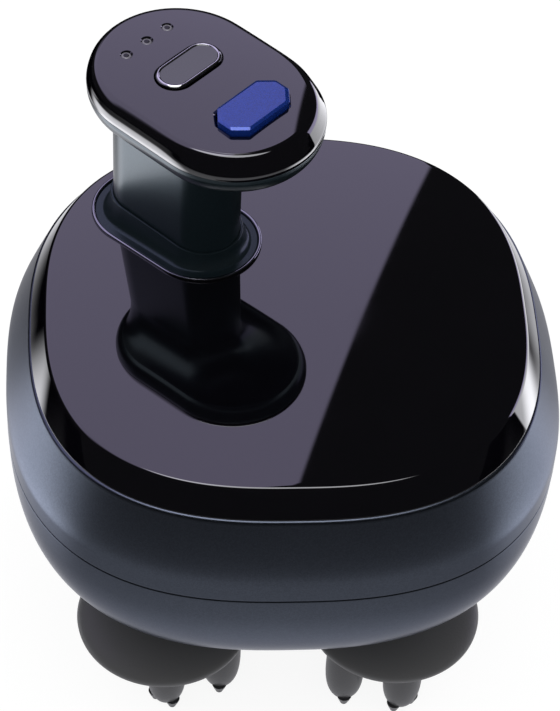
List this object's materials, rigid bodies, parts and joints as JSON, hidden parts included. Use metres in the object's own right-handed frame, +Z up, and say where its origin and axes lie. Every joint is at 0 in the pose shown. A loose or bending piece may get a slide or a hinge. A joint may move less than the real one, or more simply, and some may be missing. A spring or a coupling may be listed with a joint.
{
  "type": "electric scalp massager",
  "caption": "Cordless scalp massager: a rounded-square case on turning heads with soft fingers, and an oval grip with push buttons on a post.",
  "frame": {"origin": "centre of the case on the surface that the finger tips stand on", "axes": "+Z up, -Y to the front below the power button's end of the grip, +X to the right; the case's rounded corners and its four heads lie on X and Y"},
  "size_m": [0.119, 0.119, 0.1327],
  "materials": {
    "panel_gloss": "high gloss",
    "case_satin": "satin",
    "post_satin": "satin",
    "trim_chrome": "polished",
    "power_blue": "metallic gloss",
    "ems_chrome": "dark polished",
    "lens_dark": "clear smoked",
    "led_white": "matte",
    "board_green": "satin",
    "part_black": "matte",
    "silicone_skirt": "matte",
    "silicone_finger": "matte",
    "seal_black": "matte",
    "steel": "brushed",
    "brass": "satin",
    "gear_white": "satin",
    "frame_grey": "satin",
    "cell_blue": "satin"
  },
  "bodies": {
    "case": {"top_panel": "panel_gloss", "trim_ring": "trim_chrome", "upper_case": "case_satin", "lower_case": "case_satin", "case_gasket": "seal_black", "neck_collar": "post_satin", "neck_screws": "steel", "grip_post": "post_satin", "grip_cover": "panel_gloss", "button_board": "board_green", "button_switches": "part_black", "indicator_leds": "led_white", "indicator_lenses": "lens_dark", "grip_harness": "part_black", "main_board": "board_green", "board_components": "part_black", "board_screws": "steel", "battery": "cell_blue", "battery_cradle": "frame_grey", "charging_port": "steel", "port_cover": "seal_black", "gear_motor": "steel", "motor_screws": "steel", "idler_axle": "steel", "sun_axle": "steel", "lower_gear_plate": "frame_grey", "upper_gear_plate": "frame_grey", "plate_pillars": "frame_grey", "gearbox_screws": "steel", "lower_bushings": "brass", "upper_bushings": "brass", "shaft_seals": "seal_black", "ems_contacts": "brass", "case_screws": "steel", "screw_plugs": "seal_black"},
    "power_button": {"power_button": "power_blue"},
    "ems_button": {"ems_button": "ems_chrome"},
    "motor_rotor": {"motor_pinion": "brass"},
    "idler": {"idler_gear": "gear_white"},
    "sun": {"sun_gear": "gear_white"},
    "left_head": {"left_head_shaft": "steel", "left_head_gear": "gear_white", "left_head_skirt": "silicone_skirt", "left_head_fingers": "silicone_finger"},
    "front_head": {"front_head_shaft": "steel", "front_head_gear": "gear_white", "front_head_skirt": "silicone_skirt", "front_head_fingers": "silicone_finger"},
    "right_head": {"right_head_shaft": "steel", "right_head_gear": "gear_white", "right_head_skirt": "silicone_skirt", "right_head_fingers": "silicone_finger"},
    "rear_head": {"rear_head_shaft": "steel", "rear_head_gear": "gear_white", "rear_head_skirt": "silicone_skirt", "rear_head_fingers": "silicone_finger"}
  },
  "joints": [
    {"name": "power_press", "type": "slide", "parent": "case", "child": "power_button", "axis": [0, 0, -1], "range_m": [0, 0.0004], "stiffness_N_per_m": 600, "springref_m": -0.0015},
    {"name": "ems_press", "type": "slide", "parent": "case", "child": "ems_button", "axis": [0, 0, -1], "range_m": [0, 0.0004], "stiffness_N_per_m": 600, "springref_m": -0.0015},
    {"name": "left_head_spin", "type": "hinge", "parent": "case", "child": "left_head", "pos_m": [-0.0336, 0, 0.0174], "axis": [0, 0, 1], "continuous": true},
    {"name": "front_head_spin", "type": "hinge", "parent": "case", "child": "front_head", "pos_m": [0, -0.0336, 0.0174], "axis": [0, 0, 1], "continuous": true},
    {"name": "right_head_spin", "type": "hinge", "parent": "case", "child": "right_head", "pos_m": [0.0336, 0, 0.0174], "axis": [0, 0, 1], "continuous": true},
    {"name": "rear_head_spin", "type": "hinge", "parent": "case", "child": "rear_head", "pos_m": [0, 0.0336, 0.0174], "axis": [0, 0, 1], "continuous": true},
    {"name": "sun_spin", "type": "hinge", "parent": "case", "child": "sun", "pos_m": [0, 0, 0.0404], "axis": [0, 0, 1], "continuous": true},
    {"name": "idler_spin", "type": "hinge", "parent": "case", "child": "idler", "pos_m": [0.0181, 0.0181, 0.0404], "axis": [0, 0, 1], "continuous": true},
    {"name": "motor_spin", "type": "hinge", "parent": "case", "child": "motor_rotor", "pos_m": [0.0075, 0.0075, 0.0474], "axis": [0, 0, 1], "continuous": true}
  ],
  "couplings": [
    {"joint": "front_head_spin", "follows": "left_head_spin", "ratio": 1},
    {"joint": "right_head_spin", "follows": "left_head_spin", "ratio": 1},
    {"joint": "rear_head_spin", "follows": "left_head_spin", "ratio": 1},
    {"joint": "sun_spin", "follows": "left_head_spin", "ratio": -0.75},
    {"joint": "idler_spin", "follows": "left_head_spin", "ratio": 2.25},
    {"joint": "motor_spin", "follows": "left_head_spin", "ratio": -9}
  ]
}
